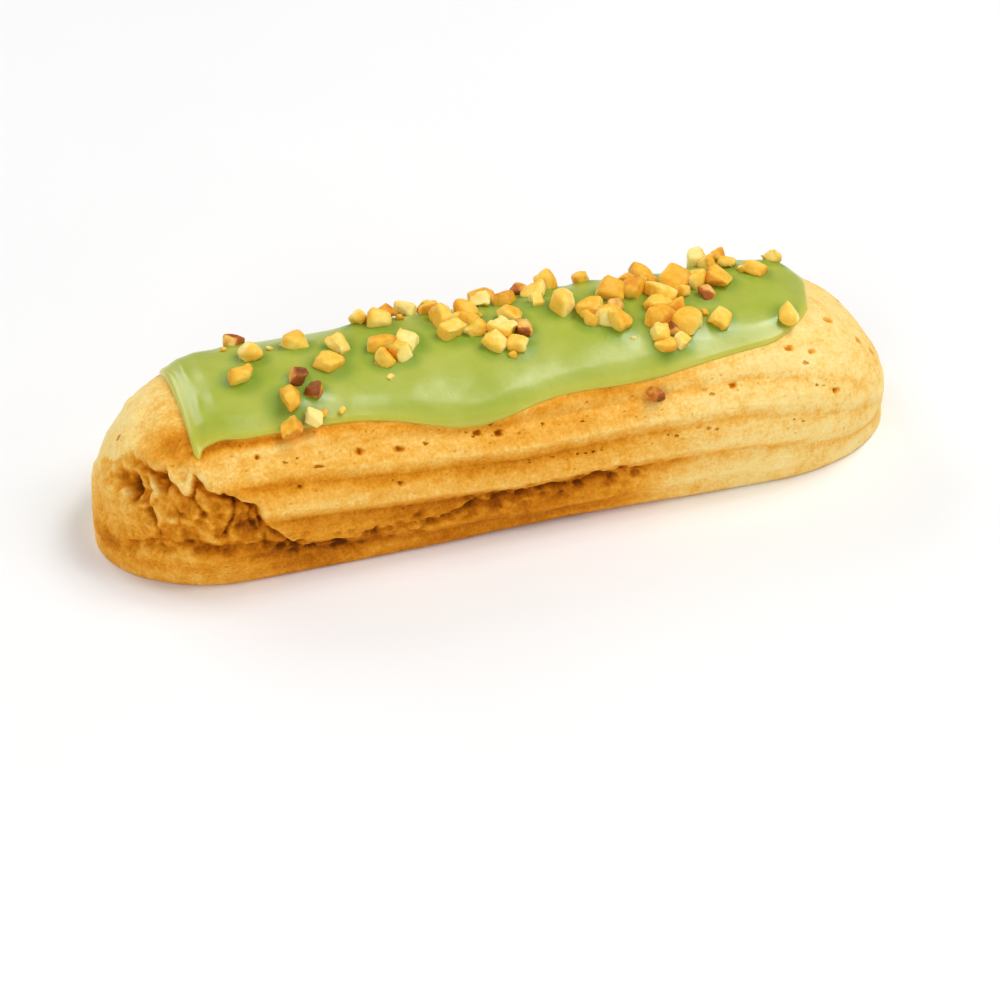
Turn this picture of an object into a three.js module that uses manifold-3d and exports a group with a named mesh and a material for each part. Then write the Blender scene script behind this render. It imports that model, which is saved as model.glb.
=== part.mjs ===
// Iced eclair: a choux bar baked from fluted piping and torn open round one end,
// with a coat of green icing along its top and chopped roasted nuts set in the icing.
// Millimetres, +Z up. The base lies on z = 0, and +X runs from the torn end to the smooth end.
// An angle round the bar is in degrees from its crest, positive towards the front at -Y.

import * as THREE from "three";
import { ConvexGeometry } from "three/addons/geometries/ConvexGeometry.js";
import { mergeVertices } from "three/addons/utils/BufferGeometryUtils.js";
import Module from "manifold-3d";

// Choux bar
const LENGTH = 140;
const WIDTH = 38.8;
const HEIGHT = 27.4;
const TORN_END = 22.8; // length of the rounded end at -X
const SMOOTH_END = 25.4; // length of the rounded end at +X
const END_ARC = 1.5; // length over a rounded end, as a multiple of its length along X
const TIP_HEIGHT = 2.6; // height of the furthest point of each end
const WAIST = 0.42; // height of the widest line, as a share of HEIGHT
const BELLY = 1.9; // depth below the waist before the tray flattens it, in waist heights
const BELLY_TAPER = 0.7; // how slowly that depth shrinks towards the tips
const SECTION_POWER = 2.3; // superellipse exponent of the section
const FOOT_ROUND = 1.2; // height of the round between flank and base
const FOOT_LIFT = { x: 8, half: 20, extra: 3 }; // where the base's edge lifts off, and its extra round there
const ROWS = 70;
const ROW_CROWDING = 0.35; // how much closer the rows lie at the torn end

// Flutes left by the star nozzle, each with a long upper face and a short one under its crest
const FLUTES = 18;
const FACETS_PER_FLUTE = 3;
const FACET = 360 / (FLUTES * FACETS_PER_FLUTE);
const UNDER_FACE = 1 / FACETS_PER_FLUTE; // width of the face under a crest, as a share of the flute
const CREST_ANGLE = 11 * FACET; // angle of one crest before it turns
const CREST_TURNS = [
  [-60, -18], [-38, -12], [-20, -6], [0, -2], [38, -3.8], [46, 0], [57, 5.7], [70, 11],
]; // x and how far the crests turn there, in degrees
const MOST_SHIFT = 18; // most that a column of vertices turns to follow the crests, in degrees
const SWEEP = 0.15; // how fast the crests sweep up to the top of the bar at the torn end
const SWEEP_START = -49;
const GROOVE_DEPTHS = [[-60, 0.1], [-44, 0.6], [5, 1.2], [35, 0.9], [58, 0.3]]; // x and depth
const LOW_GROOVES = { from: 75, to: 95, extra: 0.35 }; // angles between which the grooves deepen
const GROOVES_FROM = [46, 58]; // angles between which the grooves come in below the icing
const GROOVES_TO = [106, 122]; // angles between which they fade out above the base
const GROOVED_FULLNESS = [0.35, 0.8]; // how full the section is where they come in from the tips

// Uneven rise of the dough
const RELIEF_FROM = 3; // height over which all relief comes in above the flat base
const SWELLS = [
  { size: 17, height: 0.5, salt: 1 },
  { size: 7, height: 0.22, salt: 2 },
];

// Tear round the end at -X, seen from above as a turn about its centre: 0 faces -X, 90 faces the front
const TEAR_CENTRE = -50;
const TEAR_RIM = [
  [-45, 7], [-20, 14.5], [0, 17], [13, 20.6], [48, 21], [58, 19.6], [64, 18.8],
  [69, 21.8], [76, 20.4], [89, 19], [102, 16.7], [105, 12.5], [112, 10], [122, 6],
]; // turn and height of the torn skin's edge
const TEAR_LIP = [
  [-45, 7], [8, 2.5], [26, 4], [46, 7.2], [64, 7.8], [78, 6.4], [92, 7], [120, 6.6],
]; // turn and height of the tear's lower edge
const TEAR_DEPTHS = [[2, 0], [20, 0.6], [45, 1.4], [106, 1.4], [122, 0]]; // turn and depth
const TEAR_EDGE = 0.7; // height over which the skin drops to the torn dough
const TEAR_CREASE = 0.8; // extra depth just under the skin
const CREASE_FROM = [12, 38]; // turns between which the skin's edge comes clear of the bulge
const LIP_ROUND = 0.9; // half the height over which the lower edge rises out of it
const TEAR_LUMP = { size: 7, height: 0.8, salt: 3 };
const LUMPS_FROM = [22, 44]; // turns between which the smooth bulge of the end goes over into lumps
const TEAR_HOLE = { turn: 22, height: 16.4, halfTurn: 12, halfHeight: 1.7, depth: 2.6 };

// Icing coat
const ICING_THICKNESS = 1;
const ICING_RIM = 0.45; // height of its upright edge, as a share of the thickness
const ICING_ROUND = 2.4; // width of the round inside that edge
const ICING_GAP = 0.3; // clearance to the choux
const ICING_ROOT = 1.4; // how far the uncut coat reaches below the choux's surface
const ICING_START = -54.8;
const ICING_END = 55.5;
const ICING_SKEW = 0.08; // how far the end at +X runs on towards the back, in mm per degree
const ICING_CORNER = 10; // length of the rounded corners at +X
const ICING_BLUNTNESS = 0.85; // share of the width that the rounded corners take away
const FRONT_EDGE = 41;
const BACK_EDGE = 49;
// Sags of the icing's edges: x, extra angle and half length
const FRONT_SAGS = [[-50, -2, 2.5], [-7, 14.5, 13], [22, 7.5, 16]];
const BACK_SAGS = [[-34, 8, 12], [6, 10, 15], [42, 6, 9]];
const ICING_ROWS = 38;
const ICING_COLUMNS = 10;

// Chopped nuts
const NUT_SEED = 2024;
const NUT_LENGTHS = [3.4, 5.6];
const NUT_WIDTHS = [0.62, 0.95]; // as a share of the length
const NUT_HEIGHTS = [0.55, 0.85];
const NUT_CHOP = 0.55; // most that a corner is chopped inwards, as a share of the half size
const NUT_TILT = 35;
const NUT_SEAT = 0.5; // height of the middle above the icing, as a share of the half height
const NUT_RADIUS = 17; // mean radius of the iced crest, turns angles into lengths
const NUT_SPACING = 0.74; // closest two nuts lie, as a share of their mean lengths
const NUT_TRIES = 30;
const CLUMP_SPREAD = 2.8;
const NUT_CLUMPS = [
  [-35, 31, 3], [-18, -32, 3], [-18, 4, 5], [-9, -42, 3], [-5.5, -13, 6], [2, -41, 3],
  [1.5, 9, 4], [10, -41, 3], [10.5, -13, 2], [23.5, -20, 3], [18.5, 7, 5], [32, -13, 4],
  [30, 8, 3], [29, 27, 5], [43, -41, 3], [38.5, -9, 3],
]; // x, angle and number
const LONE_NUTS = [
  [-44, 1], [-41, -17], [-42, -43], [-33, -23], [-35, 12], [-29, 4], [-26.5, -12], [-38.5, 42],
  [3.5, -12], [19.5, -44], [29, -35], [37, 24], [44, -30], [47.5, -18], [48.7, 28], [52.5, -36],
]; // x and angle
const CRUST_NUT = [23, 56]; // one that fell off the icing

const CHOUX_LOOK = { color: 0xe0a552, roughness: 0.8, metalness: 0 };
const ICING_LOOK = { color: 0xa5c255, roughness: 0.35, metalness: 0 };

const WELD = 1e-4; // vertices closer than this are one

const { clamp, degToRad, inverseLerp, lerp, radToDeg, seededRandom, smoothstep } = THREE.MathUtils;
const wasm = await Module();
wasm.setup();

// A number from 0 to 1 that belongs to one corner of a unit lattice.
function latticeValue(i, j, k, salt) {
  let hash = Math.imul(i, 374761393) + Math.imul(j, 668265263);
  hash = (hash + Math.imul(k, 1274126177) + Math.imul(salt, 974634777)) | 0;
  hash = Math.imul(hash ^ (hash >>> 13), 1103515245);
  hash = Math.imul(hash ^ (hash >>> 15), 668265263);
  return ((hash ^ (hash >>> 16)) >>> 0) / 4294967296;
}

// Smooth noise from -1 to 1.
function swell(point, { size, salt }) {
  const cell = point.clone().divideScalar(size);
  const base = cell.clone().floor();
  const [fx, fy, fz] = cell.sub(base).toArray().map((t) => t * t * (3 - 2 * t));
  const corner = (i, j, k) => latticeValue(base.x + i, base.y + j, base.z + k, salt);
  const edge = (j, k) => lerp(corner(0, j, k), corner(1, j, k), fx);
  const face = (k) => lerp(edge(0, k), edge(1, k), fy);
  return 2 * lerp(face(0), face(1), fz) - 1;
}

// Rounded lumps with creases between them, from 1 on a lump's top down to about 0.
function lump(point, { size, salt }) {
  const cell = point.clone().divideScalar(size);
  const base = cell.clone().floor();
  let nearest = 1;
  for (let i = -1; i <= 1; i += 1) {
    for (let j = -1; j <= 1; j += 1) {
      for (let k = -1; k <= 1; k += 1) {
        const corner = base.clone().add(new THREE.Vector3(i, j, k));
        const seat = new THREE.Vector3(0, 1, 2);
        seat.set(...seat.toArray().map((n) => latticeValue(corner.x, corner.y, corner.z, salt + n)));
        nearest = Math.min(nearest, corner.add(seat).distanceTo(cell));
      }
    }
  }
  return 1 - nearest * nearest;
}

function bell(distance) {
  return Math.exp(-distance * distance);
}

// The value at x of a line through a list of [x, value] pairs.
function alongLine(pairs, x) {
  const next = pairs.findIndex(([place]) => place > x);
  if (next <= 0) {
    return next === 0 ? pairs[0][1] : pairs[pairs.length - 1][1];
  }
  const [start, end] = [pairs[next - 1], pairs[next]];
  return lerp(start[1], end[1], inverseLerp(start[0], end[0], x));
}

// Where a share of the way along the bar lies in X, and how full the section is there, 0 to 1.
function station(along) {
  const tornArc = TORN_END * END_ARC;
  const smoothArc = SMOOTH_END * END_ARC;
  const run = LENGTH - TORN_END - SMOOTH_END;
  const way = along * (tornArc + run + smoothArc);
  const torn = (clamp(way / tornArc, 0, 1) * Math.PI) / 2;
  const smooth = (clamp((tornArc + run + smoothArc - way) / smoothArc, 0, 1) * Math.PI) / 2;
  const straight = clamp(way - tornArc, 0, run);
  const x = straight - LENGTH / 2 + TORN_END * (1 - Math.cos(torn)) + SMOOTH_END * Math.cos(smooth);
  return { x, fullness: Math.max(Math.sin(torn) * Math.sin(smooth), 1e-9) };
}

// The share of the way along the bar at a given X.
function alongAt(x) {
  const tornArc = TORN_END * END_ARC;
  const smoothArc = SMOOTH_END * END_ARC;
  const run = LENGTH - TORN_END - SMOOTH_END;
  const torn = Math.acos(clamp(1 - (x + LENGTH / 2) / TORN_END, 0, 1));
  const smooth = Math.asin(clamp((x - LENGTH / 2 + SMOOTH_END) / SMOOTH_END, 0, 1));
  const straight = clamp(x + LENGTH / 2 - TORN_END, 0, run);
  const way = (torn * tornArc + smooth * smoothArc) / (Math.PI / 2) + straight;
  return way / (tornArc + run + smoothArc);
}

// Rounds the flank into a flat base at z = 0.
function footed(x, z) {
  const round = FOOT_ROUND + FOOT_LIFT.extra * bell((x - FOOT_LIFT.x) / FOOT_LIFT.half);
  if (z >= round) {
    return z;
  }
  return z <= -round ? 0 : (z + round) ** 2 / (4 * round);
}

// A point of the bar without its relief.
function smoothPoint(along, angle) {
  const { x, fullness } = station(along);
  const [sine, cosine] = [Math.sin(degToRad(angle)), Math.cos(degToRad(angle))];
  const waist = lerp(TIP_HEIGHT, WAIST * HEIGHT, fullness);
  const above = (1 - WAIST) * HEIGHT * fullness;
  const below = WAIST * HEIGHT * BELLY * fullness ** BELLY_TAPER;
  const across = Math.abs(sine / ((WIDTH / 2) * fullness)) ** SECTION_POWER;
  const upright = Math.abs(cosine / (cosine >= 0 ? above : below)) ** SECTION_POWER;
  const radius = (across + upright) ** (-1 / SECTION_POWER);
  return new THREE.Vector3(x, -radius * sine, footed(x, waist + radius * cosine));
}

// The outward direction of the bar without its relief.
function smoothNormal(along, angle) {
  const step = 1e-3;
  if (along < step || along > 1 - step) {
    return new THREE.Vector3(along < step ? -1 : 1, 0, 0);
  }
  const lengthways = smoothPoint(along + step, angle).sub(smoothPoint(along - step, angle));
  const round = smoothPoint(along, angle - 1).sub(smoothPoint(along, angle + 1));
  return lengthways.cross(round).normalize();
}

// The angle of the reference crest at a given X.
function crestAngle(x) {
  return CREST_ANGLE + alongLine(CREST_TURNS, x) - SWEEP * Math.max(0, SWEEP_START - x) ** 2;
}

function grooveRelief(x, angle, fullness) {
  const side = Math.abs(angle);
  const place = (((side - crestAngle(x)) * FLUTES) / 360) % 1;
  const below = place < 0 ? place + 1 : place; // share of the flute below the nearest crest above
  const valley = below < UNDER_FACE ? below / UNDER_FACE : (1 - below) / (1 - UNDER_FACE);
  const shown = smoothstep(side, ...GROOVES_FROM) * (1 - smoothstep(side, ...GROOVES_TO));
  const deepening = 1 + LOW_GROOVES.extra * smoothstep(side, LOW_GROOVES.from, LOW_GROOVES.to);
  const full = smoothstep(fullness, ...GROOVED_FULLNESS);
  return -alongLine(GROOVE_DEPTHS, x) * deepening * valley * shown * full;
}

function tearRelief(point) {
  const turn = radToDeg(Math.atan2(-point.y, TEAR_CENTRE - point.x));
  const under = alongLine(TEAR_RIM, turn) - point.z;
  const lip = alongLine(TEAR_LIP, turn);
  const open = smoothstep(under, 0, TEAR_EDGE) * smoothstep(point.z, lip - LIP_ROUND, lip + LIP_ROUND);
  const crease = TEAR_CREASE * bell(under / TEAR_EDGE - 1) * smoothstep(turn, ...CREASE_FROM);
  const { turn: holeTurn, height, halfTurn, halfHeight, depth } = TEAR_HOLE;
  const hole = depth * bell((turn - holeTurn) / halfTurn) * bell((point.z - height) / halfHeight);
  const lumps = TEAR_LUMP.height * smoothstep(turn, ...LUMPS_FROM) * (lump(point, TEAR_LUMP) - 0.5);
  return open * (lumps - alongLine(TEAR_DEPTHS, turn) - crease - hole);
}

// A point of the finished crust, or of a layer at a given distance outside it.
function crustPoint(along, angle, outside = 0) {
  const side = ((angle + 540) % 360) - 180;
  const { x, fullness } = station(along);
  const point = smoothPoint(along, side);
  const rises = SWELLS.map((kind) => kind.height * swell(point, kind));
  const relief = rises.reduce((sum, rise) => sum + rise, grooveRelief(x, side, fullness) + tearRelief(point));
  const aboveBase = smoothstep(point.z, 0, RELIEF_FROM);
  return point.addScaledVector(smoothNormal(along, side), relief * aboveBase + outside);
}

// Welds a three.js geometry into a solid that can be joined and cut.
function solidOf(geometry) {
  geometry.deleteAttribute("normal");
  geometry.deleteAttribute("uv");
  const welded = mergeVertices(geometry, WELD);
  const vertProperties = new Float32Array(welded.attributes.position.array);
  const triVerts = new Uint32Array(welded.index.array);
  return new wasm.Manifold(new wasm.Mesh({ numProp: 3, vertProperties, triVerts }));
}

function geometryOf(solid) {
  const { vertProperties, triVerts } = solid.getMesh();
  const geometry = new THREE.BufferGeometry();
  geometry.setAttribute("position", new THREE.BufferAttribute(vertProperties, 3));
  geometry.setIndex(new THREE.BufferAttribute(triVerts, 1));
  geometry.computeVertexNormals();
  return geometry;
}

// Moves every vertex of a geometry to the place that a function gives for it.
function reshape(geometry, placeOf) {
  const { position } = geometry.attributes;
  const vertex = new THREE.Vector3();
  for (let i = 0; i < position.count; i += 1) {
    position.setXYZ(i, ...placeOf(vertex.fromBufferAttribute(position, i)).toArray());
  }
  return geometry;
}

// The choux bar, grown outwards by a given distance. Its columns of vertices follow the crests.
function chouxSolid(outside) {
  const ball = new THREE.SphereGeometry(1, FLUTES * FACETS_PER_FLUTE, ROWS);
  return solidOf(
    reshape(ball, (vertex) => {
      const row = Math.acos(clamp(vertex.y, -1, 1)) / Math.PI;
      const along = lerp(row, row * row, ROW_CROWDING);
      const column = radToDeg(Math.atan2(-vertex.z, -vertex.x));
      const side = Math.abs(column);
      const follow = smoothstep(side, 0, GROOVES_FROM[0]) * (1 - smoothstep(side, GROOVES_TO[1], 180));
      const shift = follow * clamp(crestAngle(station(along).x) - CREST_ANGLE, -MOST_SHIFT, MOST_SHIFT);
      return crustPoint(along, column + Math.sign(column) * shift, outside);
    }),
  );
}

// The angle of the icing's edge at a given X: a base line with sags.
function icingEdge(x, base, sags) {
  return sags.reduce((sum, [place, extra, half]) => sum + extra * bell((x - place) / half), base);
}

// How far the icing's corners at +X cut into its width.
function cornerShare(x) {
  const over = clamp((x - ICING_END + ICING_CORNER) / ICING_CORNER, 0, 1);
  return Math.sqrt(1 - ICING_BLUNTNESS * over * over);
}

// The icing's thickness a given distance inside one of its edges, as a share of the whole.
function edgeShare(inside) {
  const short = 1 - clamp(inside / ICING_ROUND, 0, 1);
  return lerp(ICING_RIM, 1, Math.sqrt(1 - short * short));
}

// The icing as a slab that still reaches into the choux.
function icingSlab() {
  const crowded = (t) => (1 - Math.cos(Math.PI * t)) / 2;
  const slab = new THREE.BoxGeometry(1, 1, 1, ICING_ROWS, ICING_COLUMNS, 1);
  return solidOf(
    reshape(slab, (vertex) => {
      const lengthShare = crowded(vertex.x + 0.5);
      const widthShare = crowded(vertex.y + 0.5);
      const x = lerp(ICING_START, ICING_END, lengthShare);
      const front = icingEdge(x, FRONT_EDGE, FRONT_SAGS) * cornerShare(x);
      const back = -icingEdge(x, BACK_EDGE, BACK_SAGS) * cornerShare(x);
      const angle = lerp(front, back, widthShare);
      const sideRoom = Math.min(widthShare, 1 - widthShare) * degToRad(front - back) * NUT_RADIUS;
      const endRoom = Math.min(x - ICING_START, ICING_END - x);
      const thickness = ICING_THICKNESS * edgeShare(sideRoom) * edgeShare(endRoom);
      const outside = vertex.z > 0 ? ICING_GAP + thickness : -ICING_ROOT;
      return crustPoint(alongAt(x - ICING_SKEW * angle * lengthShare ** 2), angle, outside);
    }),
  );
}

// Places for the nuts: each clump in turn, nut by nut, clear of those already placed where it can be.
function nutPlaces() {
  const places = [];
  const draw = (low, high) => lerp(low, high, seededRandom());
  const crowding = ({ x, angle, length }) =>
    Math.min(
      ...places.map((other) => {
        const apart = Math.hypot(x - other.x, degToRad(angle - other.angle) * NUT_RADIUS);
        return (2 * apart) / (length + other.length);
      }),
    );
  const place = (x, angle, spread) => {
    const length = draw(...NUT_LENGTHS);
    let best = null;
    for (let i = 0; i < NUT_TRIES && !(best?.room >= NUT_SPACING); i += 1) {
      const reach = radToDeg(spread / NUT_RADIUS);
      const nut = { x: x + draw(-spread, spread), angle: angle + draw(-reach, reach), length };
      nut.room = crowding(nut);
      best = best && best.room > nut.room ? best : nut;
    }
    places.push(best);
  };
  seededRandom(NUT_SEED);
  LONE_NUTS.forEach(([x, angle]) => place(x, angle, 0));
  NUT_CLUMPS.forEach(([x, angle, number]) => {
    for (let i = 0; i < number; i += 1) {
      place(x, angle, CLUMP_SPREAD);
    }
  });
  return places;
}

// One chopped nut: a box with each corner chopped inwards by its own amount, lying on a layer.
function nutSolid({ x, angle, length }, layer) {
  const draw = (low, high) => lerp(low, high, seededRandom());
  const half = new THREE.Vector3(1, draw(...NUT_WIDTHS), draw(...NUT_HEIGHTS)).multiplyScalar(length / 2);
  const corners = [];
  for (let i = 0; i < 8; i += 1) {
    const signs = [i & 1, i & 2, i & 4].map((bit) => (bit ? 1 : -1));
    const chopped = signs.map((sign) => sign * draw(1 - NUT_CHOP, 1));
    corners.push(new THREE.Vector3(...chopped).multiply(half));
  }
  const along = alongAt(x);
  const normal = smoothNormal(along, angle);
  const upright = new THREE.Quaternion().setFromUnitVectors(new THREE.Vector3(0, 0, 1), normal);
  const spin = new THREE.Euler(
    degToRad(draw(-NUT_TILT, NUT_TILT)),
    degToRad(draw(-NUT_TILT, NUT_TILT)),
    degToRad(draw(0, 360)),
    "ZYX",
  );
  const turn = upright.multiply(new THREE.Quaternion().setFromEuler(spin));
  const middle = crustPoint(along, angle, layer + NUT_SEAT * half.z);
  return solidOf(new ConvexGeometry(corners.map((corner) => corner.applyQuaternion(turn).add(middle))));
}

// The largest closed shell of a solid: hollows between nuts are filled, and loose scraps dropped.
function outerShell(solid) {
  const shells = solid.decompose();
  return shells.reduce((largest, shell) => (shell.volume() > largest.volume() ? shell : largest));
}

// Joins the nuts to the slab and cuts away what lies inside the choux and its clearance.
function icingSolid() {
  const layer = ICING_GAP + ICING_THICKNESS;
  const nuts = nutPlaces().map((place) => nutSolid(place, layer));
  const coated = nuts.reduce((sum, nut) => sum.add(nut), icingSlab());
  return outerShell(coated.subtract(chouxSolid(ICING_GAP)));
}

function chouxWithNut() {
  const [x, angle] = CRUST_NUT;
  return chouxSolid(0).add(nutSolid({ x, angle, length: NUT_LENGTHS[0] }, 0));
}

function piece(name, solid, look) {
  const mesh = new THREE.Mesh(geometryOf(solid), new THREE.MeshStandardMaterial(look));
  mesh.name = name;
  return mesh;
}

const eclair = new THREE.Group();
eclair.add(piece("icing", icingSolid(), ICING_LOOK));
eclair.add(piece("choux", chouxWithNut(), CHOUX_LOOK));

export default eclair;
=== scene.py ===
# Iced eclair, dressed for the camera: a baked choux bar torn open round one end, its coat of
# green icing and the chopped roasted nuts in it, on a pale floor under soft studio light.
# Forms are worked out in millimetres on the same surface as the solids, then turned into metres.
# An angle round the bar is in degrees from its crest, positive towards the front at -Y.
# Noise is given by its size, height and salt. A pair named FROM, TO or ALONG is the span over
# which something comes in or goes out, in degrees or, for ALONG, in X.

import bmesh
import bpy
import numpy as np
from mathutils import Matrix, Vector


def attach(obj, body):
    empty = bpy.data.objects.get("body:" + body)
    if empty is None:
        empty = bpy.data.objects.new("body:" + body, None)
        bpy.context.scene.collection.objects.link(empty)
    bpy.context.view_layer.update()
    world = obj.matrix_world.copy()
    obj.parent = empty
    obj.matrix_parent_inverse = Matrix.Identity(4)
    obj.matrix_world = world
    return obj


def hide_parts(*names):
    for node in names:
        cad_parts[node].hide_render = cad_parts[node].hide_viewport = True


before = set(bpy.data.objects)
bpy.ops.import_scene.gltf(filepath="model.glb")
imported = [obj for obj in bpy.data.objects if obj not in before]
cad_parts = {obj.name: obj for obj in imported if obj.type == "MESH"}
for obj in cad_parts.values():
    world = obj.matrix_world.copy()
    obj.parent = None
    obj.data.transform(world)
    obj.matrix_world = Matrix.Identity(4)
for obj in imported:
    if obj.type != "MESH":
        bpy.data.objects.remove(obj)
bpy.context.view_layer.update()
MM = 0.001

# Choux bar
LENGTH = 140
WIDTH = 38.8
HEIGHT = 27.4
TORN_END = 22.8
SMOOTH_END = 25.4
END_ARC = 1.5  # length over a rounded end, as a multiple of its length along X
TORN_ARC = TORN_END * END_ARC
SMOOTH_ARC = SMOOTH_END * END_ARC
RUN = LENGTH - TORN_END - SMOOTH_END
WHOLE_WAY = TORN_ARC + RUN + SMOOTH_ARC
TIP_HEIGHT = 2.6
WAIST = 0.42  # height of the widest line, as a share of HEIGHT
BELLY = 1.9
BELLY_TAPER = 0.7
SECTION_POWER = 2.3
FOOT_ROUND = 1.2
FOOT_LIFT = (8, 20, 3.0)  # x, half length and extra round where the base's edge lifts off
LEAST_FULLNESS = 1e-6  # keeps the section open at the tips
FINE_ROWS = (-40, 145, 207)  # x up to which the mesh's rows lie closest, and the rows on either side
COLUMNS = ((-236, -124, 18), (-124, -46, 78), (-46, 30, 42), (30, 124, 138))  # angles and number

# Flutes left by the star nozzle, each with a long upper face and a short one under its crest
FLUTES = 18
FACETS_PER_FLUTE = 3
CREST_ANGLE = 11 * 360 / (FLUTES * FACETS_PER_FLUTE)
CREST_TURNS = (
    (-60, -18), (-38, -12), (-20, -6), (0, -2), (38, -3.8), (46, 0), (57, 5.7), (70, 11),
)
SWEEP = 0.15  # how fast the flutes sweep up to the top of the bar at the torn end
SWEEP_START = -49
UNDER_FACE = 1 / FACETS_PER_FLUTE  # width of the face under a crest, as a share of the flute
GROOVE_DEPTHS = ((-60, 0.1), (-44, 0.6), (5, 1.2), (35, 0.9), (58, 0.3))
LOW_GROOVES = (75, 95, 0.35)  # angles between which the grooves deepen, and by what share
GROOVES_FROM = (46, 58)
GROOVES_TO = (106, 122)
GROOVED_FULLNESS = (0.35, 0.8)  # how full the section is where they come in from the tips

# Uneven rise of the dough
RELIEF_FROM = 3  # height over which all relief comes in above the flat base
SWELLS = ((17, 0.5, 1), (7, 0.22, 2))
FINE_SWELLS = ((3.4, 0.14, 11), (1.7, 0.08, 12), (0.9, 0.04, 13))
STREAKS = (1.8, 0.07, 14)  # fine lines along the piping
STREAK_STRETCH = (0.2, 1, 1)
END_LINES = (2.3, 0.16, 15)  # broader ones on the flanks towards the end at +X
END_LINE_STRETCH = 0.08
END_LINES_ALONG = ((8, 34), (52, 66))
END_LINES_FROM = (36, 50)
TORN_ROUGHNESS = 0.5  # how much more fine relief the torn dough has
TIP_ROUGHNESS = (-66, 9)  # x and half length where the fine relief is doubled

# Tear round the end at -X, seen from above as a turn about its centre: 0 faces -X, 90 the front
TEAR_CENTRE = -50
TEAR_RADIUS = 18
# Turn and height of the torn skin's edge, then of the tear's lower edge, then turn and depth
TEAR_RIM = (
    (-45, 7), (-20, 14.5), (0, 17), (13, 20.6), (48, 21), (58, 19.6), (64, 18.8),
    (69, 21.8), (76, 20.4), (89, 19), (102, 16.7), (105, 12.5), (112, 10), (122, 6),
)
TEAR_LIP = ((-45, 7), (8, 2.5), (26, 4), (46, 7.2), (64, 7.8), (78, 6.4), (92, 7), (120, 6.6))
TEAR_DEPTHS = ((2, 0), (20, 0.6), (45, 1.4), (106, 1.4), (122, 0))
TEAR_EDGE = 0.7  # height over which the skin drops to the torn dough
TEAR_RAGGED = ((2.1, 0.5, 23), (0.9, 0.25, 24))
TEAR_CREASE = 0.8  # extra depth just under the skin
CREASE_FROM = (12, 38)
CURL = (0.35, 0.7, 0.6)  # height of the skin's curled rim, its distance above the edge, half width
CURL_TO = (108, 120)
LIP_ROUND = 0.9
TEAR_LUMP = (7, 0.8, 3)
LUMPS_FROM = (22, 44)
TEAR_HOLE = (22, 16.4, 12, 1.7, 2.6)  # turn, height, half turn, half height, depth

# Folds in the torn dough: points as turn and height, then depth and half width
FOLDS = (
    (((38, 15.4), (43, 13.3), (46, 12.2), (48.5, 9.8)), 1.0, 0.6),
    (((37, 19.5), (42, 17.6), (37.5, 15.2)), -0.9, 0.7),
    (((65, 18.2), (71, 16.6), (74, 15.2), (69.5, 14)), 0.8, 0.5),
    (((46.5, 20), (49.6, 17.8)), 0.6, 0.5),
    (((89.4, 18.6), (90.3, 16.4), (89.4, 13.6), (85, 11)), 1.1, 0.6),
    (((100, 16.2), (97.5, 14.4), (97.5, 12.4), (100.5, 10.8)), 0.7, 0.5),
    (((57, 16), (60, 14.4), (60, 12.4)), 0.6, 0.5),
    (((30, 6.6), (47, 8.6), (64, 9), (80, 7.8), (93, 8.4), (104, 8)), 0.5, 0.5),
    (((20, 17.2), (25, 16.2), (28, 14.6)), 1.5, 0.8),
)
FOLD_TURN_WANDER = (2.2, 1.6, 21)
FOLD_HEIGHT_WANDER = (1.8, 0.35, 22)
FIBRES = (1.7, 0.14, 27)  # upright strands of the torn dough
FIBRE_STRETCH = (1, 1, 0.22)
FIBRE_BEND = (5, 1.2, 28)
FIBRE_GRAIN = (0.8, 0.056, 29)
BUBBLES = ((4.2, 0.55, 81), (2.0, 0.32, 85))  # broken bubbles in it: size, depth and salt
BUBBLE_BEND = (2.6, 0.7, 89)
BUBBLE_BOWL = (0.5, 0.97)  # heights of a lump over which a bubble sinks in
BUBBLES_FROM = (16, 40)

# Crumbly places of the torn end: turn, height, half turn, half height and height of the crumbs
CRUMBLY = ((22, 16.8, 16, 2.6, 0.8), (8, 5.2, 7, 2.2, 0.7), (64, 9, 34, 0.8, 0.25))
CRUMB_SWELLS = ((1.5, 1, 25), (0.8, 0.5, 26))

# Broken crack low on each flank: x and angle
CRACK = ((-42, 103), (-31, 107), (-18, 105.5), (-10, 101.5), (6, 98.5), (34, 98), (60, 104))
CRACK_DEPTHS = (0.4, 2.0)  # where it is narrow and where it opens into caves
CRACK_HALF_ANGLES = (0.6, 3.8)
CAVES = (
    (-33, 1.6, 0.5), (-26.4, 1.7, 0.9), (-21.8, 2, 0.6), (-16.8, 1.8, 0.9), (-9.5, 2.4, 0.8),
    (-5, 2.2, 1), (-1, 1.6, 0.7), (4, 2.6, 0.6), (12, 1.6, 0.5),
)  # middle and half length in x, and how far the crack opens
BACK_CAVES = -8  # the caves at the back lie the other way round about half this x
CAVE_WANDER = (1.4, 0.8, 35)
CAVE_FLOOR = (0.9, 0.4, 36)
CRACK_ALONG = ((-46, -40), (18, 30))
CRACK_BREAKS = (9, 32, (-0.6, -0.2))  # size, salt and swells over which the hairline opens
CRACK_WANDER = ((3.4, 2.0, 31), (1.3, 2.0, 34), (0.7, 1.0, 33))
POCKS = (1.7, 0.9, 91)  # small holes along the crack: size, depth and salt
POCKS_HALF_ANGLE = 6
POCK_STRETCH = (0.7, 1, 1)
POCK_BOWL = (0.72, 0.96)  # heights of a lump over which a hole sinks in

# Lines of pinholes along the flanks: middle and half length in x, angle from the reference crest
PINHOLES = ((-4, 16, -10), (44, 15, -9.5), (-34, 8, -6), (26, 30, 10))
PINHOLE_HALF_ANGLE = 2.2
PINHOLES_FADE = 0.8  # share of the half length from which a line fades out

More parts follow.
